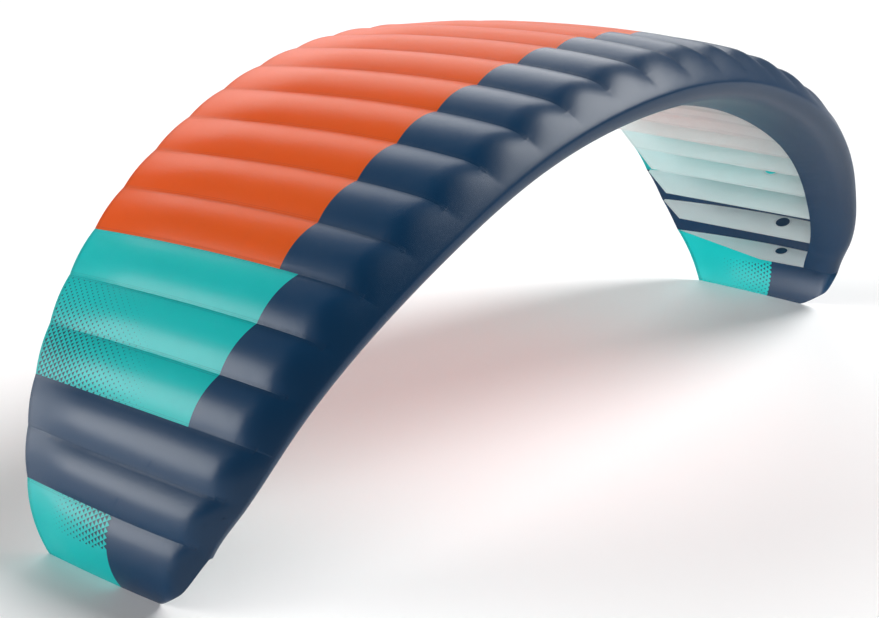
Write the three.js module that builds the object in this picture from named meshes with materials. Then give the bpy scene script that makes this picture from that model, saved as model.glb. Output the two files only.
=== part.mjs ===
// Foil kite: an arched single-skin canopy of sewn cells, standing on its two tip edges.
// Millimetres. X runs along the span, -Y is the way the nose points and +Z is up.
// Seams are numbered from 0 at the -X tip to CELLS at the +X tip, and a rib hangs under each inner seam.
// The canopy is the same on both sides of its middle, so the station table gives one side only.
import * as THREE from "three";

// Driving sizes
const CELLS = 27;
const SKIN_CLOTH = 1.5;
const RIB_CLOTH = 1.5;
const SEWING_GAP = 0.3;
const RIB_GAP = 0.6;

// One row for each measured seam, from the tip to the middle. Reach is the flat distance from the
// middle, lean is the slope of the arch in degrees, sweep is how far the nose lies back, twist lifts
// the trailing edge in degrees, and depth scales the height of the section.
const STATIONS = [
  { seam: 0, reach: 2497, lean: 100.5, chord: 627, sweep: 389, twist: 1.3, depth: 0.47 },
  { seam: 1, reach: 2282, lean: 73.5, chord: 806, sweep: 323, twist: 0.2, depth: 0.89 },
  { seam: 2, reach: 2130, lean: 65.0, chord: 932, sweep: 251, twist: 0.1, depth: 0.84 },
  { seam: 4, reach: 1808, lean: 50.8, chord: 1092, sweep: 164, twist: 0.7, depth: 0.87 },
  { seam: 7, reach: 1279, lean: 31.6, chord: 1274, sweep: 65, twist: 0.6, depth: 0.91 },
  { seam: 10, reach: 703, lean: 17.1, chord: 1373, sweep: 27, twist: 0.4, depth: 0.89 },
  { seam: 13.5, reach: 0, lean: 0, chord: 1433, sweep: 0, twist: 0.1, depth: 0.9 },
];
const CROSSES_ZERO = ["reach", "lean"];

// Section of the canopy, as shares of the chord
const CREST_HEIGHT = 0.043;
const CREST_AT = 0.115;
const UPPER_ROUNDING = 0.066;
const LOWER_ROUNDING = 0.295;
const ROUNDING_SERIES = [-0.126, -0.3516, 0.2843, -0.1036];
const ROUNDING_ROOT = 0.2969;
const TWIST_AXIS = 0.3;

// How far the nose cloth is tucked under, and how much of that is left at a tip
const TUCK = 0.168;
const TIP_TUCK = 0.36;

// Each cell's crown, as a share of its width, and where it dies out along the chord
const BILLOW = 0.105;
const NOSE_FADE_END = 0.12;
const TAIL_FADE_START = 0.72;
const TAIL_BILLOW = 0.3;

// The nose end of each tip edge is cut up from the ground, as a share of the tip cell, more steeply
// over the round of the nose, and the ground is level with the edge's middle
const TIP_CUT = 0.46;
const TIP_CUT_END = 0.2;
const TIP_CUT_POWER = 1.27;
const NOSE_CUT = 0.41;
const NOSE_CUT_PLACES = [-0.02, 0.26];
const MID_TIP = 0.6;

// Colour blocks, from the tip to the middle, with the share of the chord where the nose cloth starts
const BLOCKS = [
  { name: "tip", firstSeam: 0, lastSeam: 1, front: [0.46, 0.46], cloth: "teal" },
  { name: "shoulder", firstSeam: 1, lastSeam: 3, front: [0.46, 0.287], cloth: "navy" },
  { name: "wing", firstSeam: 3, lastSeam: 6, front: [0.287, 0.24], cloth: "teal" },
  { name: "centre", firstSeam: 6, lastSeam: 13.5, front: [0.302, 0.302], cloth: "orange" },
];

// Nose cloths, each sewn over some cells
const NOSE_SEAMS = [0, 3, 6, 11, 16, 21, 24, 27];

// Facets
const SPAN_FACETS = 6;
const TAIL_SHARES = [0.4, 0.52, 0.64, 0.76, 0.88, 0.985, 1];
const NOSE_UPPER_FACETS = 6;
const NOSE_LOWER_FACETS = 3;
const NOSE_UPPER_END = 0.2;
const PORT_FACETS = 16;
const ARC_STEPS_PER_CELL = 24;

// Steps of the finite differences: along the cloth, and across it to tell which cell a seam is seen from
const PLACE_STEP = 0.004;
const NUDGE = 1e-6;

// Ribs: the corner of the free lower edge, and the round port, as shares of the chord
const RIB_CORNER = { at: 0.84, drop: 0.105 };
const END_RIB_CORNER = { at: 0.42, drop: 0.098 };
const RIB_TAIL = TAIL_SHARES[TAIL_SHARES.length - 2];
const PORT = { at: 0.36, height: 0.02, radius: 0.032 };
const RIBS_WITHOUT_PORT = [3, 24];

// Cloth colours
const COLOURS = { orange: 0xe0652c, teal: 0x13b1b0, navy: 0x10243f, white: 0xd9e2e3 };
const CLOTH_ROUGHNESS = 0.55;

const MIDDLE = CELLS / 2;

// Distance of a seam from the nearer tip, in cells
function fromTip(seam) {
  return Math.min(seam, CELLS - seam);
}

// Smooth curve through the station table, mirrored about the middle of the canopy
function stationValue(column, seam) {
  const rows = STATIONS.map((row) => [row.seam, row[column]]);
  const [lastSeam, lastValue] = rows[rows.length - 1];
  const [mirroredSeam, mirroredValue] = rows[rows.length - 2];
  const beyond = CROSSES_ZERO.includes(column) ? 2 * lastValue - mirroredValue : mirroredValue;
  rows.push([2 * lastSeam - mirroredSeam, beyond]);
  const slopes = rows.slice(1).map(([s, v], j) => (v - rows[j][1]) / (s - rows[j][0]));
  const tangents = slopes.slice(1).map((slope, j) => {
    const before = rows[j + 1][0] - rows[j][0];
    const after = rows[j + 2][0] - rows[j + 1][0];
    return (slopes[j] * after + slope * before) / (before + after);
  });
  tangents.unshift(1.5 * slopes[0] - 0.5 * tangents[0]);
  const place = fromTip(seam);
  const found = STATIONS.findIndex((row) => row.seam > place);
  const j = found < 0 ? STATIONS.length - 2 : found - 1;
  const width = rows[j + 1][0] - rows[j][0];
  const t = (place - rows[j][0]) / width;
  const rise = rows[j + 1][1] - rows[j][1];
  const ease = t * t * (3 - 2 * t);
  const bendIn = t * (1 - t) * (1 - t) * tangents[j];
  const bendOut = t * t * (t - 1) * tangents[j + 1];
  return rows[j][1] + rise * ease + width * (bendIn + bendOut);
}

// Front view of the arch: X and Z at equal steps, walked out from the middle of the canopy
function walkArch() {
  const arch = [{ x: 0, z: 0 }];
  const step = 1 / ARC_STEPS_PER_CELL;
  for (let seam = MIDDLE; seam > step / 2; seam -= step) {
    const here = arch[arch.length - 1];
    const lean = THREE.MathUtils.degToRad(stationValue("lean", seam - step / 2));
    const run = stationValue("reach", seam - step) - stationValue("reach", seam);
    arch.push({ x: here.x - run * Math.cos(lean), z: here.z - run * Math.sin(lean) });
  }
  return arch;
}
const ARCH = walkArch();

function archPoint(seam) {
  const steps = (MIDDLE - fromTip(seam)) * ARC_STEPS_PER_CELL;
  const j = Math.min(Math.floor(steps), ARCH.length - 2);
  const side = seam > MIDDLE ? -1 : 1;
  const x = THREE.MathUtils.lerp(ARCH[j].x, ARCH[j + 1].x, steps - j);
  const z = THREE.MathUtils.lerp(ARCH[j].z, ARCH[j + 1].z, steps - j);
  return new THREE.Vector3(side * x, 0, z);
}

// Frame of the section at a seam: its nose point, and its directions along the chord, up and outboard
function sectionFrame(seam) {
  const side = seam > MIDDLE ? 1 : -1;
  const lean = side * THREE.MathUtils.degToRad(stationValue("lean", seam));
  const twist = THREE.MathUtils.degToRad(stationValue("twist", seam));
  const chord = stationValue("chord", seam);
  const back = new THREE.Vector3(0, 1, 0);
  const lift = new THREE.Vector3(Math.sin(lean), 0, Math.cos(lean));
  const along = back.clone().multiplyScalar(Math.cos(twist)).addScaledVector(lift, Math.sin(twist));
  const up = lift.clone().multiplyScalar(Math.cos(twist)).addScaledVector(back, -Math.sin(twist));
  const nose = archPoint(seam);
  nose.y = stationValue("sweep", seam) + TWIST_AXIS * chord;
  nose.addScaledVector(along, -TWIST_AXIS * chord);
  const across = along.clone().cross(up);
  return { nose, along, up, across, chord, depth: stationValue("depth", seam) };
}

// Point of the section in its own plane. The place along the cloth is signed: its square is the
// share of the chord, and it is negative on the tucked underside.
function sectionPoint(frame, place) {
  const x = place * place;
  const series = ROUNDING_SERIES.reduce((sum, factor, j) => sum + factor * x ** (j + 1), 0);
  const rounding = 5 * (ROUNDING_ROOT * Math.abs(place) + series);
  const aheadOfCrest = (2 * CREST_AT * x - x * x) / CREST_AT ** 2;
  const behindCrest = (1 - 2 * CREST_AT + 2 * CREST_AT * x - x * x) / (1 - CREST_AT) ** 2;
  const camber = CREST_HEIGHT * (x < CREST_AT ? aheadOfCrest : behindCrest);
  const height = camber + (place < 0 ? -LOWER_ROUNDING : UPPER_ROUNDING) * rounding;
  return new THREE.Vector2(x, height * frame.depth).multiplyScalar(frame.chord);
}

// Outward normal of the section in its own plane
function sectionNormal(frame, place) {
  const ahead = sectionPoint(frame, place + PLACE_STEP);
  const behind = sectionPoint(frame, place - PLACE_STEP);
  return new THREE.Vector2(behind.y - ahead.y, ahead.x - behind.x).normalize();
}

function inPlane(frame, flat) {
  return frame.along.clone().multiplyScalar(flat.x).addScaledVector(frame.up, flat.y);
}

// Height of a cell's crown above its seams
function crown(seam, place) {
  const cell = Math.min(Math.floor(seam), CELLS - 1);
  const across = seam - cell;
  const width = archPoint(cell).distanceTo(archPoint(cell + 1));
  const x = place * place;
  const nose = place > 0 ? THREE.MathUtils.smoothstep(x, 0, NOSE_FADE_END) : 0;
  const tail = 1 - (1 - TAIL_BILLOW) * THREE.MathUtils.smoothstep(x, TAIL_FADE_START, 1);
  return BILLOW * width * 4 * across * (1 - across) * nose * tail;
}

// Point on the outer face of the cloth, before the tips are levelled
function freePoint(seam, place, inset) {
  const frame = sectionFrame(seam);
  const normal = inPlane(frame, sectionNormal(frame, place));
  const point = frame.nose.clone().add(inPlane(frame, sectionPoint(frame, place)));
  return point.addScaledVector(normal, crown(seam, place) - inset);
}

const GROUND = freePoint(0, Math.sqrt(MID_TIP), 0).z;

// Point on the cloth, with the outer edge of each tip cell brought level with the ground
function skinPoint(seam, place, inset = 0) {
  const point = freePoint(seam, place, inset);
  const share = 1 - fromTip(seam);
  if (share > 0) {
    const tip = seam > MIDDLE ? CELLS : 0;
    point.z += share * (GROUND - freePoint(tip, place, inset).z);
  }
  return point;
}

// Inner face of the cloth: straight in from a seam, and square to the crowned cloth between seams
function lining(seam, place) {
  if (Number.isInteger(seam)) return skinPoint(seam, place, SKIN_CLOTH);
  const step = 1 / ARC_STEPS_PER_CELL;
  const before = Math.max(seam - step, Math.floor(seam));
  const after = Math.min(seam + step, Math.ceil(seam));
  const spanwise = skinPoint(after, place).sub(skinPoint(before, place));
  const back = skinPoint(seam, place + PLACE_STEP).sub(skinPoint(seam, place - PLACE_STEP));
  const inward = back.cross(spanwise).normalize();
  return skinPoint(seam, place).addScaledVector(inward, SKIN_CLOTH);
}

// Where a tip cell's outer edge lies on the cloth: it is cut back at the nose
function spanPlace(cell, across, place) {
  const x = place > 0 ? Math.min(place * place / TIP_CUT_END, 1) : 0;
  const noseShare = 1 - THREE.MathUtils.smoothstep(place, ...NOSE_CUT_PLACES);
  const cut = TIP_CUT * (1 - x) ** TIP_CUT_POWER + NOSE_CUT * noseShare;
  if (cell === 0) return THREE.MathUtils.lerp(cut, 1, across);
  if (cell === CELLS - 1) return THREE.MathUtils.lerp(cell, CELLS - cut, across);
  return cell + across;
}

// Column of outer and inner points across the cloth, held half a sewing gap from its neighbour
function clothColumn(cell, across, places, gapSide) {
  return places(cell + across).map((place) => {
    const seam = spanPlace(cell, across, place);
    const shift = sectionFrame(seam).across.multiplyScalar(gapSide * SEWING_GAP / 2);
    return { outer: skinPoint(seam, place).add(shift), inner: lining(seam, place).add(shift) };
  });
}

// Closed sheet over the cells between two seams, with the given places along the cloth
function sheetGeometry(firstSeam, lastSeam, places) {
  const columns = [];
  const facets = (lastSeam - firstSeam) * SPAN_FACETS;
  for (let j = 0; j <= facets; j++) {
    const cell = Math.min(firstSeam + Math.floor(j / SPAN_FACETS), lastSeam - 1);
    const across = firstSeam + j / SPAN_FACETS - cell;
    const atStart = j === 0 && firstSeam > 0 ? 1 : 0;
    const atEnd = j === facets && lastSeam < CELLS ? 1 : 0;
    columns.push(clothColumn(cell, across, places, atStart - atEnd));
  }
  return closedSheet(columns);
}

// Closed surface round a grid of outer and inner points
function closedSheet(columns) {
  const rows = columns[0].length;
  const positions = [];
  for (const face of ["outer", "inner"])
    for (const column of columns) for (const point of column) positions.push(...point[face]);
  const innerStart = columns.length * rows;
  const index = [];
  const quad = (a, b, c, d) => index.push(a, b, c, a, c, d);
  for (let c = 0; c < columns.length - 1; c++)
    for (let r = 0; r < rows - 1; r++) {
      const a = c * rows + r;
      quad(a, a + rows, a + rows + 1, a + 1);
      quad(innerStart + a, innerStart + a + 1, innerStart + a + rows + 1, innerStart + a + rows);
    }
  const wall = (a, b) => quad(a, b, innerStart + b, innerStart + a);
  for (let c = 0; c < columns.length - 1; c++) {
    wall((c + 1) * rows, c * rows);
    wall(c * rows + rows - 1, (c + 1) * rows + rows - 1);
  }
  for (let r = 0; r < rows - 1; r++) {
    wall(r, r + 1);
    wall((columns.length - 1) * rows + r + 1, (columns.length - 1) * rows + r);
  }
  const geometry = new THREE.BufferGeometry();
  geometry.setAttribute("position", new THREE.Float32BufferAttribute(positions, 3));
  geometry.setIndex(index);
  geometry.computeVertexNormals();
  return geometry;
}

// Share of the chord where the nose cloth starts, for a seam seen from one colour block
function frontShare(block, seam) {
  const across = (fromTip(seam) - block.firstSeam) / (block.lastSeam - block.firstSeam);
  return THREE.MathUtils.lerp(block.front[0], block.front[1], across);
}

function blockOf(cell) {
  const middle = fromTip(cell + 0.5);
  return BLOCKS.find((block) => middle > block.firstSeam && middle <= block.lastSeam);
}

// Shares of the chord, behind the nose cloth, where a colour block's facets meet
function tailShares(block) {
  return TAIL_SHARES.filter((share) => share > Math.max(...block.front));
}

// Places along the cloth from the nose cloth back to the trailing edge
function tailPlaces(block) {
  return (seam) => {
    const front = frontShare(block, seam) + SEWING_GAP / 2 / stationValue("chord", seam);
    return [front, ...tailShares(block)].map(Math.sqrt);
  };
}

// Places along the round of the nose, from the tucked underside to the level part behind the crest
function roundPlaces(seam) {
  const tuck = TUCK * THREE.MathUtils.lerp(TIP_TUCK, 1, Math.min(fromTip(seam), 1));
  const places = [];
  for (let j = 0; j < NOSE_LOWER_FACETS; j++)
    places.push(-Math.sqrt(tuck) * (1 - j / NOSE_LOWER_FACETS));
  for (let j = 0; j <= NOSE_UPPER_FACETS; j++)
    places.push(Math.sqrt(NOSE_UPPER_END) * j / NOSE_UPPER_FACETS);
  return places;
}

function nosePlaces(middleSeam) {
  return (seam) => {
    const block = blockOf(Math.floor(seam < middleSeam ? seam + NUDGE : seam - NUDGE));
    const front = frontShare(block, seam) - SEWING_GAP / 2 / stationValue("chord", seam);
    return [...roundPlaces(seam), Math.sqrt(front)];
  };
}

// Places behind the nose where a rib meets the facets of the cloths on both its sides
function ribTailPlaces(seam) {
  const sides = [blockOf(seam - 1), blockOf(seam)];
  const fronts = sides.map((block) => frontShare(block, seam));
  const shared = tailShares(sides[0]).filter((share) => tailShares(sides[1]).includes(share));
  if (fronts[0] === fronts[1]) shared.unshift(fronts[0]);
  return shared.filter((share) => share <= RIB_TAIL).map(Math.sqrt);
}

// Round port through a rib
function portPoints(chord) {
  const centre = new THREE.Vector2(PORT.at, PORT.height);
  return Array.from({ length: PORT_FACETS }, (_, j) => {
    const angle = 2 * Math.PI * j / PORT_FACETS;
    const spoke = new THREE.Vector2(Math.cos(angle), Math.sin(angle));
    return centre.clone().addScaledVector(spoke, PORT.radius).multiplyScalar(chord);
  });
}

// Outline of a rib in the plane of its seam: up against the cloth, with a free lower edge
function ribShape(seam, frame) {
  const inset = SKIN_CLOTH + RIB_GAP;
  const underCloth = (place) =>
    sectionPoint(frame, place).addScaledVector(sectionNormal(frame, place), -inset);
  const points = [...roundPlaces(seam), ...ribTailPlaces(seam)].map(underCloth);
  const corner = fromTip(seam) > 1 ? RIB_CORNER : END_RIB_CORNER;
  const rise = (RIB_TAIL - corner.at) / (1 - corner.at);
  points.push(new THREE.Vector2(RIB_TAIL, -corner.drop * (1 - rise)).multiplyScalar(frame.chord));
  points.push(new THREE.Vector2(corner.at, -corner.drop).multiplyScalar(frame.chord));
  const shape = new THREE.Shape(points);
  if (!RIBS_WITHOUT_PORT.includes(seam)) shape.holes.push(new THREE.Path(portPoints(frame.chord)));
  return shape;
}

function clothMaterial(cloth) {
  const look = { color: COLOURS[cloth], roughness: CLOTH_ROUGHNESS, metalness: 0 };
  return new THREE.MeshStandardMaterial({ ...look, side: THREE.DoubleSide });
}

function numbered(word, number) {
  return word + "_" + String(number).padStart(2, "0");
}

function makeTopPanels() {
  const group = new THREE.Group();
  for (let cell = 0; cell < CELLS; cell++) {
    const block = blockOf(cell);
    const geometry = sheetGeometry(cell, cell + 1, tailPlaces(block));
    const mesh = new THREE.Mesh(geometry, clothMaterial(block.cloth));
    mesh.name = numbered("top_panel", cell + 1);
    group.add(mesh);
  }
  return group;
}

function makeNosePanels() {
  const group = new THREE.Group();
  for (let j = 0; j < NOSE_SEAMS.length - 1; j++) {
    const [first, last] = [NOSE_SEAMS[j], NOSE_SEAMS[j + 1]];
    const geometry = sheetGeometry(first, last, nosePlaces((first + last) / 2));
    const mesh = new THREE.Mesh(geometry, clothMaterial("navy"));
    mesh.name = numbered("nose_panel", j + 1);
    group.add(mesh);
  }
  return group;
}

function makeRibs() {
  const group = new THREE.Group();
  for (let seam = 1; seam < CELLS; seam++) {
    const frame = sectionFrame(seam);
    const options = { depth: RIB_CLOTH, bevelEnabled: false };
    const geometry = new THREE.ExtrudeGeometry(ribShape(seam, frame), options);
    geometry.translate(0, 0, -RIB_CLOTH / 2);
    const mesh = new THREE.Mesh(geometry, clothMaterial("white"));
    const turn = new THREE.Matrix4().makeBasis(frame.along, frame.up, frame.across);
    mesh.quaternion.setFromRotationMatrix(turn);
    mesh.position.copy(frame.nose);
    mesh.name = numbered("rib", seam);
    group.add(mesh);
  }
  return group;
}

// The canopy is lifted so that its tip edges stand on Z = 0, and centred fore and aft
function makeKite() {
  const canopy = new THREE.Group();
  canopy.add(makeTopPanels(), makeNosePanels(), makeRibs());
  const box = new THREE.Box3().setFromObject(canopy, true);
  canopy.position.set(0, -(box.min.y + box.max.y) / 2, -GROUND);
  const kite = new THREE.Group();
  kite.add(canopy);
  return kite;
}

export default makeKite();
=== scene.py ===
"""Looks of an arched single-skin foil kite, sewn of ripstop cloth and standing on its two tip edges.

Metres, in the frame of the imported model: X runs along the span, -Y is the way the nose points, +Z is up.
Seams are numbered from 0 at the -X tip, and a cell lies between two seams. A place along the cloth is
signed: its square is the share of the chord, and it is negative on the tucked underside.
"""

import logging
import math
from dataclasses import dataclass, field
from enum import Enum
from typing import Optional

import bmesh
import bpy
import numpy as np
from mathutils import Matrix, Vector


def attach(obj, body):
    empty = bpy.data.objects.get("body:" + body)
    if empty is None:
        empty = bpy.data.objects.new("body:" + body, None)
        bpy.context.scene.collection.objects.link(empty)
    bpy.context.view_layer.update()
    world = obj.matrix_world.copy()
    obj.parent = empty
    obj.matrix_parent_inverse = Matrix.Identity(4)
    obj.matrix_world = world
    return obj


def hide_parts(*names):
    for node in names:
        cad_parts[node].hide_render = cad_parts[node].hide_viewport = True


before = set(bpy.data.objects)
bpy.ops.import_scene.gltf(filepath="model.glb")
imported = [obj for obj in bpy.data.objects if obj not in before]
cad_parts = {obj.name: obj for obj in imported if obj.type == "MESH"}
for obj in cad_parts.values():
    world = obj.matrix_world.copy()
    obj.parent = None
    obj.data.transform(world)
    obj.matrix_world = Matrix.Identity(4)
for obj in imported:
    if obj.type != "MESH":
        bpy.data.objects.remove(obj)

log = logging.getLogger("kite")
Socket = bpy.types.NodeSocket
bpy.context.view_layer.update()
BODY = "root"
FOLD = math.radians(24)
LIGHT_DISTANCE = 10.0
CLOSE = 1e-5
SECTION_SCALE = 5.0
SHEEN_ROUGHNESS = 0.35


class Column(Enum):
    """What the station table gives at each measured seam."""

    REACH = 0
    LEAN = 1
    CHORD = 2
    SWEEP = 3
    TWIST = 4
    DEPTH = 5


CROSSES_ZERO = (Column.REACH, Column.LEAN)


@dataclass
class CanopyForm:
    """The shape of the canopy, the same as in the solids.

    Reach, chord and sweep are metres, lean and twist degrees, and depth scales the section's height.
    """

    cells: int = 27
    seams: tuple[float, ...] = (0, 1, 2, 4, 7, 10, 13.5)
    table: tuple[tuple[float, ...], ...] = (
        (2.497, 2.282, 2.130, 1.808, 1.279, 0.703, 0.0),
        (100.5, 73.5, 65.0, 50.8, 31.6, 17.1, 0.0),
        (0.627, 0.806, 0.932, 1.092, 1.274, 1.373, 1.433),
        (0.389, 0.323, 0.251, 0.164, 0.065, 0.027, 0.0),
        (1.3, 0.2, 0.1, 0.7, 0.6, 0.4, 0.1),
        (0.47, 0.89, 0.84, 0.87, 0.91, 0.89, 0.9),
    )
    crest_height: float = 0.043
    crest_at: float = 0.115
    upper_rounding: float = 0.066
    lower_rounding: float = 0.295
    rounding_root: float = 0.2969
    rounding_series: tuple[float, ...] = (-0.126, -0.3516, 0.2843, -0.1036)
    twist_axis: float = 0.3
    billow: float = 0.105
    nose_fade_end: float = 0.12
    tail_fade_start: float = 0.72
    tail_billow: float = 0.3
    tip_cut: float = 0.46
    tip_cut_end: float = 0.2
    tip_cut_power: float = 1.27
    nose_cut: float = 0.41
    nose_cut_places: tuple[float, float] = (-0.02, 0.26)
    mid_tip: float = 0.6
    steps_per_cell: int = 24
    fore_aft: float = -0.716993
    place_step: float = 0.004
    arch: np.ndarray = field(init=False)
    ground: float = field(init=False)

    def __post_init__(self) -> None:
        """Walks the arch out from the middle and finds the ground."""
        step = 1 / self.steps_per_cell
        count = round(self.middle * self.steps_per_cell)
        here = self.middle - step * np.arange(count)
        lean = np.radians(self.value(Column.LEAN, here - step / 2))
        run = self.value(Column.REACH, here - step) - self.value(Column.REACH, here)
        turned = np.stack([run * np.cos(lean), run * np.sin(lean)], axis=-1)
        self.arch = np.vstack([[0.0, 0.0], -np.cumsum(turned, axis=0)])
        middle_of_tip = np.array([math.sqrt(self.mid_tip)])
        self.ground = float(self.free(np.zeros(1), middle_of_tip, 0.0)[0, 2])

    @property
    def middle(self) -> float:
        """The middle of the span, counted in seams."""
        return self.cells / 2

    def from_tip(self, seam: np.ndarray) -> np.ndarray:
        """Distance from the nearer tip, in cells."""
        return np.minimum(seam, self.cells - seam)

    def value(self, column: Column, seam: np.ndarray) -> np.ndarray:
        """Reads a smooth curve through the station table, mirrored about the middle.

        Args:
            column: which value to read.
            seam: places along the span, in seams.

        Returns:
            The value at each place.
        """
        at = np.array(self.seams, float)
        known = np.array(self.table[column.value], float)
        beyond = 2 * known[-1] - known[-2] if column in CROSSES_ZERO else known[-2]
        spans = np.diff(np.append(at, 2 * at[-1] - at[-2]))
        slopes = np.diff(np.append(known, beyond)) / spans
        inner = (slopes[:-1] * spans[1:] + slopes[1:] * spans[:-1]) / (spans[:-1] + spans[1:])
        tangents = np.insert(inner, 0, 1.5 * slopes[0] - 0.5 * inner[0])
        place = self.from_tip(seam)
        j = np.clip(np.searchsorted(at, place, side="right") - 1, 0, len(at) - 2)
        width = spans[j]
        t = (place - at[j]) / width
        rise = (known[j + 1] - known[j]) * t * t * (3 - 2 * t)
        bends = t * (1 - t) ** 2 * tangents[j] + t * t * (t - 1) * tangents[j + 1]
        return known[j] + rise + width * bends

    def arch_point(self, seam: np.ndarray) -> np.ndarray:
        """Gives the X and Z of the arch.

        Args:
            seam: places along the span, in seams.

        Returns:
            An array with X and Z last.
        """
        steps = (self.middle - self.from_tip(seam)) * self.steps_per_cell
        known = np.arange(len(self.arch))
        side = np.where(seam > self.middle, -1.0, 1.0)
        x = side * np.interp(steps, known, self.arch[:, 0])
        return np.stack([x, np.interp(steps, known, self.arch[:, 1])], axis=-1)

    def axes(self, seam: np.ndarray) -> tuple[np.ndarray, np.ndarray, np.ndarray]:
        """Gives the frame of the section at each seam.

        Args:
            seam: places along the span, in seams.

        Returns:
            The nose point, the direction back along the chord and the direction up.
        """
        side = np.where(seam > self.middle, 1.0, -1.0)
        lean = side * np.radians(self.value(Column.LEAN, seam))
        twist = np.radians(self.value(Column.TWIST, seam))[..., None]
        none = np.zeros_like(lean)
        lift = np.stack([np.sin(lean), none, np.cos(lean)], axis=-1)
        back = np.stack([none, none + 1, none], axis=-1)
        along = back * np.cos(twist) + lift * np.sin(twist)
        up = lift * np.cos(twist) - back * np.sin(twist)
        hinge = self.twist_axis * self.value(Column.CHORD, seam)
        arch = self.arch_point(seam)
        sweep = self.value(Column.SWEEP, seam) + hinge
        nose = np.stack([arch[..., 0], sweep, arch[..., 1]], axis=-1) - along * hinge[..., None]
        return nose, along, up

    def section(self, seam: np.ndarray, place: np.ndarray) -> np.ndarray:
        """Gives points of the section in its own plane.

        Args:
            seam: places along the span, in seams.
            place: signed places along the cloth.

        Returns:
            An array with the distance back and the height last.
        """
        x = place * place
        series = sum(factor * x ** (j + 1) for j, factor in enumerate(self.rounding_series))
        rounding = SECTION_SCALE * (self.rounding_root * np.abs(place) + series)
        ahead = (2 * self.crest_at * x - x * x) / self.crest_at**2
        behind = (1 - 2 * self.crest_at + 2 * self.crest_at * x - x * x) / (1 - self.crest_at) ** 2
        camber = self.crest_height * np.where(x < self.crest_at, ahead, behind)
        share = np.where(place < 0, -self.lower_rounding, self.upper_rounding)
        height = (camber + share * rounding) * self.value(Column.DEPTH, seam)
        return np.stack([x, height], axis=-1) * self.value(Column.CHORD, seam)[..., None]

    def section_normal(self, seam: np.ndarray, place: np.ndarray) -> np.ndarray:
        """Gives the outward direction of the section in its own plane.

        Args:
            seam: places along the span, in seams.
            place: signed places along the cloth.

        Returns:
            Unit directions, as section gives points.
        """
        step = self.section(seam, place + self.place_step) - self.section(seam, place - self.place_step)
        normal = np.stack([-step[..., 1], step[..., 0]], axis=-1)
        return normal / np.linalg.norm(normal, axis=-1, keepdims=True)

    def crown(self, seam: np.ndarray, place: np.ndarray) -> np.ndarray:
        """Gives the height of each cell's billow over its seams.

        Args:
            seam: places along the span, in seams.
            place: signed places along the cloth.

        Returns:
            The height in metres.
        """
        cell = np.minimum(np.floor(seam), self.cells - 1)
        across = seam - cell
        width = np.linalg.norm(self.arch_point(cell) - self.arch_point(cell + 1), axis=-1)
        x = place * place
        nose = np.where(place > 0, smooth_step(x, 0, self.nose_fade_end), 0)
        tail = 1 - (1 - self.tail_billow) * smooth_step(x, self.tail_fade_start, 1)
        return self.billow * width * 4 * across * (1 - across) * nose * tail

    def free(self, seam: np.ndarray, place: np.ndarray, inset: float) -> np.ndarray:
        """Gives points of the cloth before the tips are levelled.

        Args:
            seam: places along the span, in seams.
            place: signed places along the cloth.
            inset: how far the points lie under the outer face, one number or one for each point.

        Returns:
            Points, before they are moved to the model's frame.
        """
        nose, along, up = self.axes(seam)
        flat = self.section(seam, place)
        out = self.section_normal(seam, place) * (self.crown(seam, place) - inset)[..., None]
        flat = flat + out
        return nose + along * flat[..., :1] + up * flat[..., 1:]

    def skin(self, seam: np.ndarray, place: np.ndarray, inset: float = 0.0) -> np.ndarray:
        """Gives points of the cloth, with the tips level on the ground.

        Args:
            seam: places along the span, in seams.
            place: signed places along the cloth.
            inset: how far the points lie under the outer face.

        Returns:
            Points in the model's frame.
        """
        points = self.free(seam, place, inset)
        tip = np.where(seam > self.middle, float(self.cells), 0.0)
        share = np.maximum(1 - self.from_tip(seam), 0)
        points[..., 2] += share * (self.ground - self.free(tip, place, inset)[..., 2])
        return points + np.array([0, self.fore_aft, -self.ground])

    def span_place(self, cell: int, across: np.ndarray, place: np.ndarray) -> np.ndarray:
        """Gives where a column of a cell lies along the span.

        Args:
            cell: the cell's number from 0.
            across: the share of the cell's width.
            place: signed places along the cloth, because a tip cell is cut back at its nose.

        Returns:
            Places counted in seams.
        """
        share = np.where(place > 0, np.minimum(place * place / self.tip_cut_end, 1), 0)
        cut = self.tip_cut * (1 - share) ** self.tip_cut_power
        cut = cut + self.nose_cut * (1 - smooth_step(place, *self.nose_cut_places))
        if cell == 0:
            return cut + (1 - cut) * across
        if cell == self.cells - 1:
            return cell + (1 - cut) * across
        return cell + across + 0 * place


def smooth_step(x: np.ndarray, low: float, high: float) -> np.ndarray:
    """Smooth rise from 0 at low to 1 at high."""
    t = np.clip((x - low) / (high - low), 0, 1)
    return t * t * (3 - 2 * t)


@dataclass(frozen=True)
class ClothDetail:
    """The small measures of the cloth and its sewing: metres, waves to a metre, and shares."""

    weave_pitch: float = 0.005
    weave_width: float = 0.0006
    weave_shade: float = 0.93
    tone_scale: float = 2.2
    tone_detail: float = 3.0
    stitch_pitch: float = 0.002
    stitch_length: float = 0.0013
    stitch_half_width: float = 0.0004
    seam_rows: tuple[float, float] = (0.0035, 0.009)
    hem_row: float = 0.012
    print_pitch: float = 0.019
    print_row: float = 0.8
    gather_scale: tuple[float, float] = (22.0, 2.5)
    gather_reach: float = 0.16
    pucker_scale: tuple[float, float, float] = (18, 55, 18)
    pucker_reach: float = 0.045
    slack_scale: float = 5.0
    crinkle_scale: float = 45.0
    fell_width: float = 0.011
    pucker_height: float = 0.0015
    gather_height: float = 0.0016
    slack_height: float = 0.0014
    crinkle_height: float = 0.00012
    fell_height: float = 0.0006
    weave_height: float = 0.00008
    stitch_height: float = 0.0002


DETAIL = ClothDetail()


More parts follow.
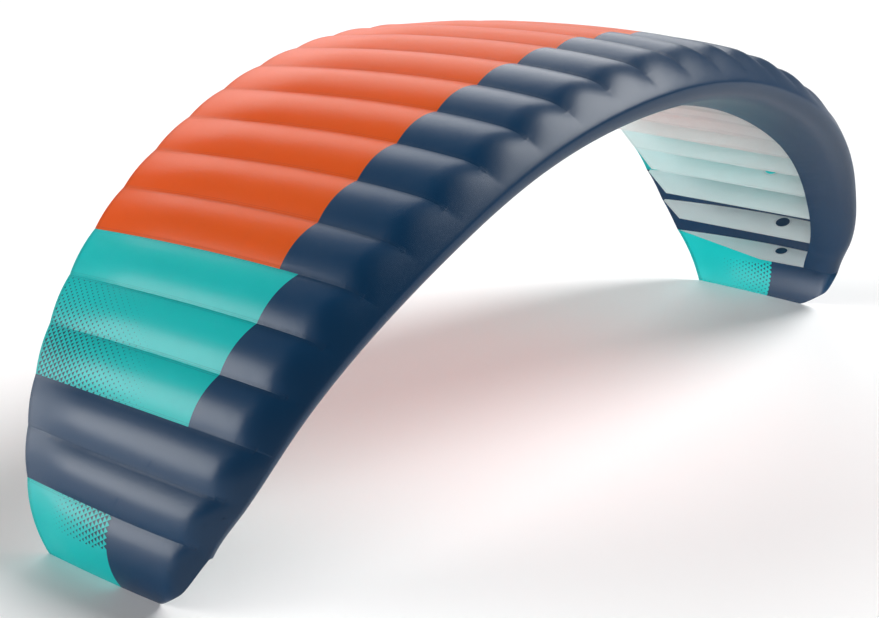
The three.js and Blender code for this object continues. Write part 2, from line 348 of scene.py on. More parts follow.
class Pattern(Enum):
    """What is printed on a cloth."""

    PLAIN = "plain"
    TRIANGLES = "triangles"


@dataclass(frozen=True)
class ClothFinish:
    """Coated ripstop cloth: its colours, its sheen and how much light comes through."""

    name: str
    slot: str
    colour: tuple[float, float, float]
    faded: tuple[float, float, float]
    thread: tuple[float, float, float]
    let_through: float
    roughness: float = 0.33
    gloss: float = 0.5
    sheen: float = 0.04
    pattern: Pattern = Pattern.PLAIN

    def material(self) -> bpy.types.Material:
        """Makes the material, or finds it if it is already there.

        Returns:
            The material.
        """
        found = bpy.data.materials.get(self.name)
        if found:
            return found
        nodes = NodeBench(self.name)
        weave = nodes.weave()
        tone = nodes.noise(scale=DETAIL.tone_scale, detail=DETAIL.tone_detail)
        colour = nodes.mix(tone, self.colour, self.faded)
        colour = nodes.darken(colour, weave, DETAIL.weave_shade)
        if self.pattern is Pattern.TRIANGLES:
            colour = nodes.mix(nodes.triangles(), colour, self.thread)
        stitches = nodes.stitches()
        colour = nodes.mix(stitches, colour, self.thread)
        bump = nodes.cloth_bump(weave, stitches)
        nodes.finish(self, colour, bump)
        return nodes.material


class NodeBench:
    """Lays out the nodes of one cloth material."""

    def __init__(self, name: str) -> None:
        """Starts an empty material of that name."""
        self.material = bpy.data.materials.new(name)
        self.material.use_nodes = True
        self.tree = self.material.node_tree
        self.tree.nodes.clear()
        self.cloth = self.add("ShaderNodeUVMap", uv_map="cloth").outputs["UV"]
        split = self.add("ShaderNodeSeparateXYZ")
        self.join(self.cloth, split.inputs[0])
        self.u, self.v = split.outputs[0], split.outputs[1]

    def add(self, kind: str, **settings: object) -> bpy.types.Node:
        """Adds a node.

        Args:
            kind: its type name.
            settings: properties to set on it.

        Returns:
            The node.
        """
        node = self.tree.nodes.new(kind)
        for key, value in settings.items():
            setattr(node, key, value)
        return node

    def join(self, value: object, socket: Socket) -> None:
        """Links a socket to another, or sets its plain value.

        Args:
            value: a socket, a colour or a number.
            socket: the input that takes it.
        """
        if isinstance(value, Socket):
            self.tree.links.new(value, socket)
        elif isinstance(value, tuple) and len(value) == 3 and socket.type == "RGBA":
            socket.default_value = (*value, 1.0)
        else:
            socket.default_value = value

    def math(self, operation: str, *values: object, clamp: bool = False) -> Socket:
        """Adds a Math node.

        Args:
            operation: the node's operation.
            values: sockets or numbers for its inputs, in order.
            clamp: whether the result stays between 0 and 1.

        Returns:
            Its result.
        """
        node = self.add("ShaderNodeMath", operation=operation, use_clamp=clamp)
        for value, socket in zip(values, node.inputs):
            self.join(value, socket)
        return node.outputs[0]

    def mix(self, factor: object, first: object, second: object) -> Socket:
        """Mixes two colours.

        Args:
            factor: the share of the second.
            first: a colour or socket.
            second: a colour or socket.

        Returns:
            The mixed colour.
        """
        node = self.add("ShaderNodeMix", data_type="RGBA")
        self.join(factor, node.inputs["Factor"])
        self.join(first, node.inputs[6])
        self.join(second, node.inputs[7])
        return node.outputs[2]

    def darken(self, colour: object, factor: object, share: float) -> Socket:
        """Multiplies a colour by a share where the factor is 1.

        Args:
            colour: a colour or socket.
            factor: where it is darkened, from 0 to 1.
            share: how much of the colour is left there.

        Returns:
            The darkened colour.
        """
        node = self.add("ShaderNodeMix", data_type="RGBA", blend_type="MULTIPLY")
        self.join(factor, node.inputs["Factor"])
        self.join(colour, node.inputs[6])
        self.join((share, share, share), node.inputs[7])
        return node.outputs[2]

    def attribute(self, name: str) -> Socket:
        """Reads a number that the mesh carries at its corners."""
        return self.add("ShaderNodeAttribute", attribute_name=name).outputs["Fac"]

    def noise(self, scale: float, detail: float, stretch: tuple[float, ...] = (1, 1, 1)) -> Socket:
        """Adds noise over the object.

        Args:
            scale: waves to a metre.
            detail: how many finer layers it has.
            stretch: scale along each axis.

        Returns:
            The noise, about 0 to 1.
        """
        place = self.add("ShaderNodeTexCoord").outputs["Object"]
        mapping = self.add("ShaderNodeMapping")
        self.join(place, mapping.inputs["Vector"])
        mapping.inputs["Scale"].default_value = stretch
        node = self.add("ShaderNodeTexNoise")
        self.join(mapping.outputs[0], node.inputs["Vector"])
        node.inputs["Scale"].default_value = scale
        node.inputs["Detail"].default_value = detail
        return node.outputs["Fac"]

    def gathers(self) -> Socket:
        """Gives soft folds that run back from a hem.

        Returns:
            The folds, about 0 to 1.
        """
        place = self.add("ShaderNodeCombineXYZ")
        for value, scale, socket in zip((self.u, self.v), DETAIL.gather_scale, place.inputs):
            self.join(self.math("MULTIPLY", value, scale), socket)
        node = self.add("ShaderNodeTexNoise")
        self.join(place.outputs[0], node.inputs["Vector"])
        node.inputs["Scale"].default_value = 1.0
        node.inputs["Detail"].default_value = 2.0
        return node.outputs["Fac"]

    def band(self, value: object, middle: float, half: float) -> Socket:
        """Gives 1 where the value lies within half of the middle, with a soft edge."""
        off = self.math("ABSOLUTE", self.math("SUBTRACT", value, middle))
        return self.math("SUBTRACT", 1.5, self.math("DIVIDE", off, half), clamp=True)

    def line(self, value: object, pitch: float, width: float) -> Socket:
        """Gives thin lines at a pitch, both in metres."""
        wave = self.math("PINGPONG", value, pitch / 2)
        return self.math("LESS_THAN", wave, width / 2)

    def dashes(self, value: object) -> Socket:
        """Gives the stitches of a row that runs along the value."""
        wave = self.math("PINGPONG", value, DETAIL.stitch_pitch)
        return self.math("LESS_THAN", wave, DETAIL.stitch_length)

    def weave(self) -> Socket:
        """Gives the grid of thicker threads of ripstop cloth.

        Returns:
            1 on a thread, and 0 elsewhere.
        """
        across = self.line(self.u, DETAIL.weave_pitch, DETAIL.weave_width)
        along = self.line(self.v, DETAIL.weave_pitch, DETAIL.weave_width)
        return self.math("MAXIMUM", across, along)

    def stitches(self) -> Socket:
        """Gives two rows of stitches by each seam and one along each hem.

        Returns:
            1 on a stitch, and 0 elsewhere.
        """
        to_seam, to_hem = self.attribute("to_seam"), self.attribute("to_hem")
        dash_v, dash_u = (self.dashes(value) for value in (self.v, self.u))
        near, far = (self.band(to_seam, row, DETAIL.stitch_half_width) for row in DETAIL.seam_rows)
        rows = self.math("MULTIPLY", self.math("MAXIMUM", near, far), dash_v)
        hem = self.math("MULTIPLY", self.band(to_hem, DETAIL.hem_row, DETAIL.stitch_half_width), dash_u)
        return self.math("MAXIMUM", rows, hem)

    def triangles(self) -> Socket:
        """Gives rows of small triangles, whose size is carried by the mesh.

        Returns:
            1 on a triangle, and 0 elsewhere.
        """
        pitch = DETAIL.print_pitch
        row = self.math("DIVIDE", self.v, pitch * DETAIL.print_row)
        odd = self.math("MULTIPLY", self.math("MODULO", self.math("FLOOR", row), 2.0), 0.5)
        column = self.math("ADD", self.math("DIVIDE", self.u, pitch), odd)
        height = self.math("FRACT", row)
        aside = self.math("ABSOLUTE", self.math("SUBTRACT", self.math("FRACT", column), 0.5))
        size = self.attribute("print_size")
        slope = self.math("MULTIPLY", self.math("SUBTRACT", size, height), 0.5)
        return self.math("LESS_THAN", aside, slope)

    def fade(self, distance: object, reach: float) -> Socket:
        """Gives 1 at no distance, falling to 0 at the reach."""
        return self.math("SUBTRACT", 1.0, self.math("DIVIDE", distance, reach), clamp=True)

    def cloth_bump(self, weave: Socket, stitches: Socket) -> Socket:
        """Joins the reliefs of the cloth.

        Args:
            weave: the grid of threads.
            stitches: the rows of stitches.

        Returns:
            A normal for the shader.
        """
        to_seam = self.attribute("to_seam")
        near = self.fade(to_seam, DETAIL.pucker_reach)
        pucker = self.noise(scale=1.0, detail=2.0, stretch=DETAIL.pucker_scale)
        pucker = self.math("MULTIPLY", pucker, self.math("MULTIPLY", near, near))
        at_edge = self.fade(self.attribute("to_hem"), DETAIL.gather_reach)
        gather = self.math("MULTIPLY", self.gathers(), self.math("MULTIPLY", at_edge, at_edge))
        reliefs = (
            (gather, DETAIL.gather_height),
            (self.noise(scale=DETAIL.slack_scale, detail=2.0), DETAIL.slack_height),
            (self.noise(scale=DETAIL.crinkle_scale, detail=3.0), DETAIL.crinkle_height),
            (self.fade(to_seam, DETAIL.fell_width), DETAIL.fell_height),
            (weave, DETAIL.weave_height),
            (stitches, DETAIL.stitch_height),
        )
        height = self.math("MULTIPLY", pucker, DETAIL.pucker_height)
        for relief, most in reliefs:
            height = self.math("ADD", height, self.math("MULTIPLY", relief, most))
        bump = self.add("ShaderNodeBump")
        bump.inputs["Strength"].default_value = 1.0
        bump.inputs["Distance"].default_value = 1.0
        self.join(height, bump.inputs["Height"])
        return bump.outputs[0]

    def finish(self, finish: ClothFinish, colour: Socket, bump: Socket) -> None:
        """Adds the shaders of the cloth.

        Args:
            finish: the cloth's values.
            colour: its colour.
            bump: its normal.
        """
        shader = self.add("ShaderNodeBsdfPrincipled")
        shader.inputs["Roughness"].default_value = finish.roughness
        shader.inputs["Sheen Weight"].default_value = finish.sheen
        shader.inputs["Sheen Roughness"].default_value = SHEEN_ROUGHNESS
        shader.inputs["Specular IOR Level"].default_value = finish.gloss
        self.join(colour, shader.inputs["Base Color"])
        self.join(bump, shader.inputs["Normal"])
        through = self.add("ShaderNodeBsdfTranslucent")
        self.join(colour, through.inputs["Color"])
        self.join(bump, through.inputs["Normal"])
        both = self.add("ShaderNodeMixShader")
        both.inputs[0].default_value = finish.let_through
        self.join(shader.outputs[0], both.inputs[1])
        self.join(through.outputs[0], both.inputs[2])
        output = self.add("ShaderNodeOutputMaterial")
        self.join(both.outputs[0], output.inputs["Surface"])


ORANGE = ClothFinish(
    "orange_ripstop", "orange_cloth", (0.9, 0.175, 0.008), (0.93, 0.195, 0.014), (0.5, 0.08, 0.012),
    0.58, gloss=0.6,
)
TEAL = ClothFinish(
    "teal_ripstop", "teal_cloth", (0.004, 0.66, 0.65), (0.008, 0.7, 0.69), (0.003, 0.36, 0.37), 0.5
)
TEAL_PRINT = ClothFinish(
    "teal_printed_ripstop", "teal_cloth", (0.004, 0.66, 0.65), (0.008, 0.7, 0.69), (0.005, 0.06, 0.1),
    0.5, pattern=Pattern.TRIANGLES,
)
NAVY = ClothFinish(
    "navy_ripstop", "navy_cloth", (0.001, 0.034, 0.094), (0.0014, 0.039, 0.104), (0.001, 0.016, 0.045),
    0.12, gloss=0.36,
)
WHITE = ClothFinish(
    "white_ripstop", "white_cloth", (0.88, 0.93, 0.93), (0.9, 0.95, 0.95), (0.75, 0.8, 0.81), 0.6,
)
WHITE_TAPE = ClothFinish(
    "white_tape", "white_cloth", (0.78, 0.83, 0.83), (0.8, 0.85, 0.85), (0.6, 0.65, 0.66), 0.3
)


@dataclass(frozen=True)
class ColourBlock:
    """Cells of one colour, from the tip to the middle, and where their nose cloth starts."""

    name: str
    first_seam: float
    last_seam: float
    front: tuple[float, float]
    finish: ClothFinish

    def front_share(self, from_tip: np.ndarray) -> np.ndarray:
        """Share of the chord where the nose cloth starts."""
        across = (from_tip - self.first_seam) / (self.last_seam - self.first_seam)
        return self.front[0] + (self.front[1] - self.front[0]) * across


BLOCKS = (
    ColourBlock("tip", 0, 1, (0.46, 0.46), TEAL),
    ColourBlock("shoulder", 1, 3, (0.46, 0.287), NAVY),
    ColourBlock("wing", 3, 6, (0.287, 0.24), TEAL),
    ColourBlock("centre", 6, 13.5, (0.302, 0.302), ORANGE),
)


@dataclass
class ClothGrid:
    """Points of a cloth, in columns across the span and rows along the chord."""

    points: np.ndarray
    to_seam: np.ndarray
    to_hem: np.ndarray
    print_size: Optional[np.ndarray] = None

    @property
    def across(self) -> np.ndarray:
        """Distance from the middle column along each row.

        Returns:
            Metres, less than 0 on the first columns.
        """
        steps = np.linalg.norm(np.diff(self.points, axis=0), axis=-1)
        run = np.vstack([np.zeros((1, steps.shape[1])), np.cumsum(steps, axis=0)])
        return run - run[-1:] / 2

    @property
    def along(self) -> np.ndarray:
        """Distance along each column from its first row."""
        steps = np.linalg.norm(np.diff(self.points, axis=1), axis=-1)
        return np.hstack([np.zeros((steps.shape[0], 1)), np.cumsum(steps, axis=1)])

    @property
    def area(self) -> float:
        """Area of the cloth.

        Returns:
            Square metres.
        """
        rising = self.points[1:, 1:] - self.points[:-1, :-1]
        falling = self.points[1:, :-1] - self.points[:-1, 1:]
        return float(np.linalg.norm(np.cross(rising, falling), axis=-1).sum() / 2)

    @property
    def flat(self) -> tuple[float, float]:
        """Width and length of the rectangle that the cloth was cut from."""
        return float(2 * self.across[-1].max()), float(self.along.max())


class ClothPiece:
    """Makes an object of a grid of points."""

    def __init__(self, name: str, grid: ClothGrid, thickness: float) -> None:
        """Keeps what the piece is made of.

        Args:
            name: the object's name.
            grid: its points.
            thickness: how thick the cloth is.
        """
        self.name, self.grid, self.thickness = name, grid, thickness

    def make(self, finish: ClothFinish) -> bpy.types.Object:
        """Makes the object.

        Args:
            finish: the cloth's finish.

        Returns:
            The object, riding on the canopy.
        """
        columns, rows = self.grid.points.shape[:2]
        bm = bmesh.new()
        bmesh.ops.create_grid(bm, x_segments=columns - 1, y_segments=rows - 1, size=0.5)
        flat = np.array([v.co for v in bm.verts])
        i = np.rint((flat[:, 0] + 0.5) * (columns - 1)).astype(int)
        j = np.rint((flat[:, 1] + 0.5) * (rows - 1)).astype(int)
        for vert, co in zip(bm.verts, self.grid.points[i, j]):
            vert.co = co
        self.carry(bm, i, j)
        return finish_object(self.name, bm, (finish,), self.thickness)

    def carry(self, bm: bmesh.types.BMesh, i: np.ndarray, j: np.ndarray) -> None:
        """Writes the cloth's own coordinates and distances to the mesh.

        Args:
            bm: the mesh.
            i: each vertex's column.
            j: each vertex's row.
        """
        uv = bm.loops.layers.uv.new("cloth")
        u, v = self.grid.across[i, j], self.grid.along[i, j]
        values = {"to_seam": self.grid.to_seam[i, j], "to_hem": self.grid.to_hem[i, j]}
        if self.grid.print_size is not None:
            values["print_size"] = self.grid.print_size[i, j]
        for name, numbers in values.items():
            layer = bm.verts.layers.float.new(name)
            for vert, number in zip(bm.verts, numbers):
                vert[layer] = float(number)
        bm.verts.index_update()
        for face in bm.faces:
            for loop in face.loops:
                k = loop.vert.index
                loop[uv].uv = (u[k], v[k])


def finish_object(
    name: str, bm: bmesh.types.BMesh, finishes: tuple[ClothFinish, ...], thickness: float
) -> bpy.types.Object:
    """Makes an object of cloth that rides on the canopy.

    Args:
        name: the object's name.
        bm: its faces, pointing outwards, which get their thickness here.
        finishes: its finishes, in the order of the faces' material numbers.
        thickness: how thick the cloth is, inwards from the faces.

    Returns:
        The object.
    """
    outer = set(bm.verts)
    bmesh.ops.solidify(bm, geom=bm.faces, thickness=thickness)
    printed = bm.verts.layers.float.get("print_size")
    if printed:
        for vert in set(bm.verts) - outer:
            vert[printed] = 0.0
    for edge in bm.edges:
        edge.smooth = edge.calc_face_angle(0.0) < FOLD
    mesh = bpy.data.meshes.new(name)
    bm.to_mesh(mesh)
    bm.free()
    for finish in finishes:
        mesh.materials.append(finish.material())
    mesh.shade_smooth()
    made = bpy.data.objects.new(name, mesh)
    bpy.context.scene.collection.objects.link(made)
    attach(made, BODY)
    return made


@dataclass
class Panels:
    """The sewn cloths of the top and the nose."""

    form: CanopyForm
    blocks: tuple[ColourBlock, ...] = BLOCKS
    thickness: float = 0.0005
    span_facets: int = 24
    row_length: float = 0.014
    fewest_rows: int = 8
    nose_rows: int = 44
    nose_seams: tuple[int, ...] = (0, 3, 6, 11, 16, 21, 24, 27)
    tuck: float = 0.168
    tip_tuck: float = 0.36
    seam_fade: float = 0.045
    tip_print: float = 0.26
    wing_print: float = 0.5
    print_fade: float = 0.85
    print_full: float = 1.2
    print_most: float = 0.94

    def block_of(self, cell: int) -> ColourBlock:
        """Finds the colour block of a cell."""
        middle = min(cell + 0.5, self.form.cells - cell - 0.5)
        return next(b for b in self.blocks if b.first_seam < middle <= b.last_seam)

    @property
    def across(self) -> np.ndarray:
        """Shares of a cell's width where its columns lie."""
        return np.linspace(0, 1, self.span_facets + 1)

    def top_columns(self, cell: int) -> tuple[np.ndarray, np.ndarray]:
        """Lays out a top cloth.

        Args:
            cell: its number from 0.

        Returns:
            The span place and the signed chord place of each point.
        """
        block = self.block_of(cell)
        across = self.across[:, None]
        front = block.front_share(self.form.from_tip(cell + across))
        chord = float(self.form.value(Column.CHORD, np.array(cell + 0.5)))
        rows = max(self.fewest_rows, round(chord * (1 - float(front.mean())) / self.row_length))
        share = front + (1 - front) * np.linspace(0, 1, rows + 1)[None, :]
        place = np.sqrt(share)
        return self.form.span_place(cell, across, place), place

    def tuck_share(self, seam: np.ndarray) -> np.ndarray:
        """Share of the chord that is tucked under the nose."""
        near = np.minimum(self.form.from_tip(seam), 1)
        return self.tuck * (self.tip_tuck + (1 - self.tip_tuck) * near)

    def nose_columns(self, cell: int) -> tuple[np.ndarray, np.ndarray]:
        """Lays out the nose cloth of a cell.

        Args:
            cell: its number from 0.

        Returns:
            The span place and the signed chord place of each point.
        """
        block = self.block_of(cell)
        across = self.across[:, None]
        start = -np.sqrt(self.tuck_share(cell + across))
        end = np.sqrt(block.front_share(self.form.from_tip(cell + across)))
        place = start + (end - start) * np.linspace(0, 1, self.nose_rows + 1)[None, :]
        return self.form.span_place(cell, across, place), place

    def print_size(self, seam: np.ndarray, grid: ClothGrid) -> np.ndarray:
        """Gives the size of the printed triangles, which fade along and across the cloth.

        Args:
            seam: the span place of each point.
            grid: the cloth's points.

        Returns:
            The size as a share of the print's pitch.
        """
        near = self.form.from_tip(seam)
        if near.max() <= 1:
            run, far = grid.along / self.tip_print, 1 - near
        else:
            run, far = (grid.along[:, -1:] - grid.along) / self.wing_print, (near - 3) / 2
        faded = np.hypot(run, self.print_fade * far)
        return np.clip(self.print_full - faded, 0, self.print_most) * (near < 5)

    def make_top(self, cell: int) -> bpy.types.Object:
        """Makes the top cloth of a cell.

        Args:
            cell: its number from 0.

        Returns:
            The object, which stands for the solid of that cell.
        """
        seam, place = self.top_columns(cell)
        points = self.form.skin(seam, place)
        grid = ClothGrid(points, np.zeros(seam.shape), np.zeros(seam.shape))
        half = grid.across[-1:] + 0 * grid.across
        grid.to_seam = half - np.abs(grid.across)
        grid.to_hem = grid.along[:, -1:] - grid.along
        finish = self.block_of(cell).finish
        size = self.print_size(seam, grid)
        if finish is TEAL and size.max() > 0:
            finish, grid.print_size = TEAL_PRINT, size
        name = f"top_cloth_{cell + 1:02d}"
        made = ClothPiece(name, grid, self.thickness).make(finish)
        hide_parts(f"top_panel_{cell + 1:02d}")
        log.info("%s: %s, in the block named %s", name, finish.name, self.block_of(cell).name)
        return made

    def make_nose(self, number: int) -> bpy.types.Object:
        """Makes a nose cloth, which is sewn over several cells.

        Args:
            number: its number from 0.

        Returns:
            The object, which stands for its solid.
        """
        first, last = self.nose_seams[number], self.nose_seams[number + 1]
        seams, places, to_seam = [], [], []
        for cell in range(first, last):
            seam, place = self.nose_columns(cell)
            points = self.form.skin(seam, place)
            grid = ClothGrid(points, np.zeros(seam.shape), np.zeros(seam.shape))
            keep = slice(0 if cell == first else 1, None)
            seams.append(seam[keep])
            places.append(place[keep])
            to_seam.append((grid.across[-1:] - np.abs(grid.across))[keep])
        points = self.form.skin(np.vstack(seams), np.vstack(places))
        place = np.vstack(places)
        smooth_round = 1 - smooth_step(place * np.abs(place), 0.0, self.seam_fade)
        grid = ClothGrid(points, np.vstack(to_seam) + smooth_round, np.zeros(points.shape[:2]))
        grid.to_hem = grid.along
        name = f"nose_cloth_{number + 1:02d}"
        made = ClothPiece(name, grid, self.thickness).make(NAVY)
        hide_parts(f"nose_panel_{number + 1:02d}")
        log.info("%s: cells %d to %d", name, first + 1, last)
        return made

    def make(self) -> None:
        """Makes every top and nose cloth."""
        for cell in range(self.form.cells):
            self.make_top(cell)
        for number in range(len(self.nose_seams) - 1):
            self.make_nose(number)


@dataclass
class TailBinding:
    """The tape folded over the trailing edge, one length for each run of cells of a colour."""

    form: CanopyForm
    panels: Panels
    width: float = 0.009
    wrap: tuple[float, ...] = (1, 0.5, 0.1, -0.12, 0.1, 0.5, 1)
    proud: float = 0.0004
    thickness: float = 0.0003
    stitch_offset: float = 0.006
    runs: tuple[tuple[int, int], ...] = ((0, 1), (1, 3), (3, 6), (6, 21), (21, 24), (24, 26), (26, 27))

    def make_run(self, number: int) -> bpy.types.Object:
        """Makes one length of tape.

        Args:
            number: its number from 0.

        Returns:
            The object.
        """
        first, last = self.runs[number]
        facets = (last - first) * self.panels.span_facets
        seam = np.linspace(first, last, facets + 1)[:, None]
        ahead = np.array(self.wrap)[None, :] * self.width
        under = self.panels.thickness + self.proud
        middle = self.panels.thickness / 2
        inset = np.array([-self.proud, -self.proud, -self.proud, middle, under, under, under])[None, :]
        place = np.sqrt(1 - ahead / self.form.value(Column.CHORD, seam))
        seam, inset = seam + 0 * ahead, inset + 0 * seam
        points = self.form.skin(seam, place, inset)
        nearest = np.abs(seam - np.round(seam))
        grid = ClothGrid(points, np.full(seam.shape, 1.0), np.zeros(seam.shape))
        grid.to_seam = nearest * float(grid.across.max()) / (last - first) * 2
        grid.to_hem = np.abs(ahead) + 0 * seam + self.stitch_offset
        name = f"tail_binding_{number + 1}"
        made = ClothPiece(name, grid, self.thickness).make(self.panels.block_of(first).finish)
        log.info("%s: cells %d to %d", name, first + 1, last)
        return made

    def make(self) -> None:
        """Makes every length of tape."""
        for number in range(len(self.runs)):
            self.make_run(number)


@dataclass
class Ribs:
    """The white ribs under the seams, each with a round port and a free lower edge."""

    form: CanopyForm
    panels: Panels
    thickness: float = 0.0004
    under: float = 0.0006
    corner: tuple[float, float] = (0.84, 0.105)
    end_corner: tuple[float, float] = (0.42, 0.098)
    tail: float = 0.985
    port_at: tuple[float, float] = (0.36, 0.02)
    port_radius: float = 0.032
    without_port: tuple[int, ...] = (3, 24)
    spokes: int = 128
    hem: float = 0.011
    port_tape: float = 0.009
    most_tape: float = 0.35
    rings: int = 7
    under_points: int = 160
    over_points: int = 700
    tail_points: int = 24
    back_points: int = 200
    front_points: int = 500

    def outline(self, seam: int) -> tuple[np.ndarray, list[int]]:
        """Gives a rib's outline in its own plane, close under the cloth.

        Args:
            seam: the rib's number.

        Returns:
            Points round the outline, and the numbers of its corners.
        """
        tuck = float(self.panels.tuck_share(np.array(float(seam))))
        lower = -np.sqrt(tuck) * np.linspace(1, 0, self.under_points, endpoint=False)
        upper = np.linspace(0, math.sqrt(self.tail), self.over_points)
        place = np.concatenate([lower, upper])
        where = np.full(place.shape, float(seam))
        cloth = self.form.section(where, place) - self.form.section_normal(where, place) * self.under
        chord = float(self.form.value(Column.CHORD, np.array(float(seam))))
        at, drop = self.corner if self.form.from_tip(np.array(seam)) > 1 else self.end_corner
        rise = (self.tail - at) / (1 - at)
        tail = np.array([self.tail, -drop * (1 - rise)]) * chord
        knee = np.array([at, -drop]) * chord
        stops = [cloth[-1], tail, knee, cloth[0]]
        counts = (self.tail_points, self.back_points, self.front_points)
        edges = [np.linspace(a, b, n)[1:] for a, b, n in zip(stops, stops[1:], counts)]
        points = np.vstack([cloth, *edges])[:-1]
        at_tail = len(cloth) - 1
        after_tail = at_tail + self.tail_points - 1
        return points, [0, at_tail, after_tail, after_tail + self.back_points - 1]

    def spoke_ends(self, seam: int, centre: np.ndarray) -> np.ndarray:
        """Picks the outline's points that the spokes from the port run to.

        Args:
            seam: the rib's number.
            centre: the port's middle in the rib's plane.

        Returns:
            The points, in order round the port.
        """
        points, corners = self.outline(seam)
        closed = np.vstack([points, points[:1]])
        run = np.concatenate([[0], np.cumsum(np.linalg.norm(np.diff(closed, axis=0), axis=1))])
        spoke = closed - centre
        turn = np.unwrap(np.arctan2(spoke[:, 1], spoke[:, 0]))
        turned = np.abs(turn - turn[0])
        measure = 0.5 * run / run[-1] + 0.5 * turned / turned[-1]
        wanted = np.arange(self.spokes) / self.spokes
        picked = np.searchsorted(measure, wanted)
        for corner in corners:
            picked[np.argmin(np.abs(measure[picked] - measure[corner]))] = corner
        return points[np.sort(picked) % len(points)]

    def make_one(self, seam: int) -> bpy.types.Object:
        """Makes a rib.

        Args:
            seam: its number.

        Returns:
            The object, which stands for its solid.
        """
        where = np.array([float(seam)])
        chord = float(self.form.value(Column.CHORD, where)[0])
        centre = np.array(self.port_at) * chord
        radius = self.port_radius * chord
        ends = self.spoke_ends(seam, centre)
        reach = np.linalg.norm(ends - centre, axis=1)
        spokes = (ends - centre) / reach[:, None]
        if np.cross(spokes[0], spokes[1]) < 0:
            ends, reach, spokes = ends[::-1], reach[::-1], spokes[::-1]
        bm = bmesh.new()
        to_hem = bm.verts.layers.float.new("to_hem")
        to_port = bm.verts.layers.float.new("to_seam")
        closed = seam in self.without_port
        bmesh.ops.create_circle(bm, cap_ends=closed, radius=1.0, segments=self.spokes)
        ring = list(bm.verts)
        edges = list(bm.edges)
        distances = self.distances(reach, radius)
        for level in range(distances.shape[1]):
            if level:
                grown = bmesh.ops.extrude_edge_only(bm, edges=edges)["geom"]
                fresh = [g for g in grown if isinstance(g, bmesh.types.BMVert)]
                edges = [e for e in grown if isinstance(e, bmesh.types.BMEdge) and e.is_boundary]
                ring = self.matched(ring, fresh)
            for n, vert in enumerate(ring):
                x, z = centre + spokes[n] * distances[n, level]
                vert.co = (x, z, 0)
                vert[to_hem] = float(reach[n] - distances[n, level])
                vert[to_port] = float(distances[n, level] - radius) + closed
        self.carry(bm)
        for face in bm.faces:
            at_port = not closed and max(v[to_port] for v in face.verts) < self.port_tape + CLOSE
            at_hem = max(v[to_hem] for v in face.verts) < self.hem + CLOSE
            face.material_index = int(at_port or at_hem)
        self.place(bm, where)
        area = sum(f.calc_area() for f in bm.faces)
        name = f"rib_cloth_{seam:02d}"
        made = finish_object(name, bm, (WHITE, WHITE_TAPE), self.thickness)
        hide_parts(f"rib_{seam:02d}")
        log.info("%s: %s", name, "no port" if closed else f"port {2000 * radius:.0f} mm wide")
        return made

    def matched(self, ring: list, fresh: list) -> list:
        """Puts the new ring's vertices in the order of the ring that they were drawn from.

        Args:
            ring: the old ring, in order.
            fresh: the new vertices.

        Returns:
            The new vertices, in order.
        """
        pool = set(fresh)
        return [next(o for e in v.link_edges if (o := e.other_vert(v)) in pool) for v in ring]

    def distances(self, reach: np.ndarray, radius: float) -> np.ndarray:
        """Gives how far out each ring lies on each spoke.

        Args:
            reach: the length of each spoke to the outline.
            radius: the port's radius.

        Returns:
            Distances, with the rings last.
        """
        most = self.most_tape * (reach - radius)
        inner = radius + np.minimum(self.port_tape, most)
        outer = reach - np.minimum(self.hem, most)
        between = np.linspace(0, 1, self.rings + 1)
        body = inner[:, None] + (outer - inner)[:, None] * between
        return np.hstack([np.full((len(reach), 1), radius), body, reach[:, None]])

    def carry(self, bm: bmesh.types.BMesh) -> None:
        """Writes the rib's own coordinates.

        Args:
            bm: the rib, flat in its own plane.
        """
        uv = bm.loops.layers.uv.new("cloth")
        for face in bm.faces:
            for loop in face.loops:
                loop[uv].uv = loop.vert.co.xy

    def place(self, bm: bmesh.types.BMesh, where: np.ndarray) -> None:
        """Stands the flat rib under its seam.

        Args:
            bm: the rib, flat in its own plane.
            where: its seam.
        """
        nose, along, up = (Vector(v[0]) for v in self.form.axes(where))
        nose = nose + Vector((0, self.form.fore_aft, -self.form.ground))
        turn = Matrix((along, up, along.cross(up))).transposed().to_4x4()
        bmesh.ops.transform(bm, matrix=Matrix.Translation(nose) @ turn, verts=bm.verts)

    def make(self) -> None:
        """Makes every rib."""
        for seam in range(1, self.form.cells):
            self.make_one(seam)


@dataclass(frozen=True)
class PhotoView:
    """The camera, at the photograph's viewing angle."""

    place: tuple[float, float, float] = (-5.58163, -4.206253, 2.748154)
    azimuth: float = 51.248
    elevation: float = -18.627
    roll: float = 1.1556
    focal_pixels: float = 2040.79
    picture_width: int = 879
    sensor: float = 36.0
    farthest: float = 200.0

    def make(self) -> bpy.types.Object:
        """Makes the camera and gives it to the scene.

        Returns:
            The camera.
        """
        az, el, roll = (math.radians(v) for v in (self.azimuth, self.elevation, self.roll))
        forward = Vector((math.sin(az) * math.cos(el), math.cos(az) * math.cos(el), math.sin(el)))
        level = Vector((math.cos(az), -math.sin(az), 0))
        above = level.cross(forward)
        right = level * math.cos(roll) + above * math.sin(roll)
        up = above * math.cos(roll) - level * math.sin(roll)
        data = bpy.data.cameras.new("photo_view")
        data.sensor_width = self.sensor
        data.lens = self.focal_pixels * self.sensor / self.picture_width
        data.clip_end = self.farthest
        camera = bpy.data.objects.new("photo_view", data)
        turn = Matrix((right, up, -forward)).transposed().to_4x4()
        camera.matrix_world = Matrix.Translation(self.place) @ turn
        bpy.context.scene.collection.objects.link(camera)
        bpy.context.scene.camera = camera
        return camera


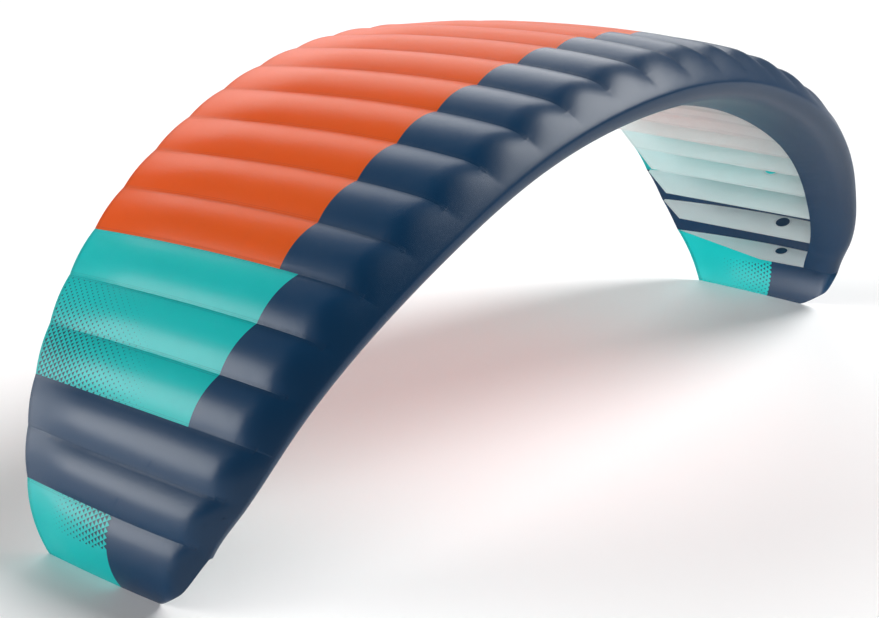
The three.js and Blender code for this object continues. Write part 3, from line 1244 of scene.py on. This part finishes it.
@dataclass(frozen=True)
class SoftLight:
    """A broad light from far away, which reaches the whole floor evenly."""

    name: str
    comes_from: tuple[float, float, float]
    strength: float
    width: float

    def make(self) -> bpy.types.Object:
        """Makes the light and turns it to the kite.

        Returns:
            The light.
        """
        data = bpy.data.lights.new(self.name, "SUN")
        data.energy, data.angle = self.strength, math.radians(self.width)
        light = bpy.data.objects.new(self.name, data)
        light.location = Vector(self.comes_from).normalized() * LIGHT_DISTANCE
        light.rotation_euler = (-light.location).to_track_quat("-Z", "Y").to_euler()
        bpy.context.scene.collection.objects.link(light)
        return light


@dataclass(frozen=True)
class Studio:
    """A plain pale floor under soft light."""

    floor_size: float = 160.0
    floor_colour: tuple[float, float, float] = (0.93, 0.93, 0.93)
    floor_roughness: float = 0.8
    surroundings: float = 0.08
    lights: tuple[SoftLight, ...] = (
        SoftLight("front_overhead", (0.61, -0.35, 0.71), 3.2, 34),
        SoftLight("behind_near_tip", (-0.69, 0.7, 0.17), 3.6, 40),
        SoftLight("behind_far_tip", (0.61, 0.68, 0.41), 1.35, 46),
    )

    def make(self) -> None:
        """Makes the floor, the lights and the light all round."""
        bm = bmesh.new()
        bmesh.ops.create_grid(bm, x_segments=1, y_segments=1, size=self.floor_size / 2)
        mesh = bpy.data.meshes.new("floor")
        bm.to_mesh(mesh)
        bm.free()
        floor = bpy.data.objects.new("floor", mesh)
        bpy.context.scene.collection.objects.link(floor)
        material = bpy.data.materials.new("pale_floor")
        material.use_nodes = True
        shader = material.node_tree.nodes["Principled BSDF"]
        shader.inputs["Base Color"].default_value = (*self.floor_colour, 1)
        shader.inputs["Roughness"].default_value = self.floor_roughness
        mesh.materials.append(material)
        for light in self.lights:
            light.make()
        world = bpy.data.worlds.new("studio")
        world.use_nodes = True
        background = world.node_tree.nodes["Background"]
        background.inputs["Color"].default_value = (1, 1, 1, 1)
        background.inputs["Strength"].default_value = self.surroundings
        bpy.context.scene.world = world
        bpy.context.scene.view_settings.view_transform = "Standard"


def main() -> None:
    """Builds the kite and its studio."""
    logging.basicConfig(level=logging.INFO, format="%(name)s: %(message)s")
    form = CanopyForm()
    PhotoView().make()
    Studio().make()
    panels = Panels(form)
    panels.make()
    TailBinding(form, panels).make()
    Ribs(form, panels).make()


if __name__ == "__main__":
    main()
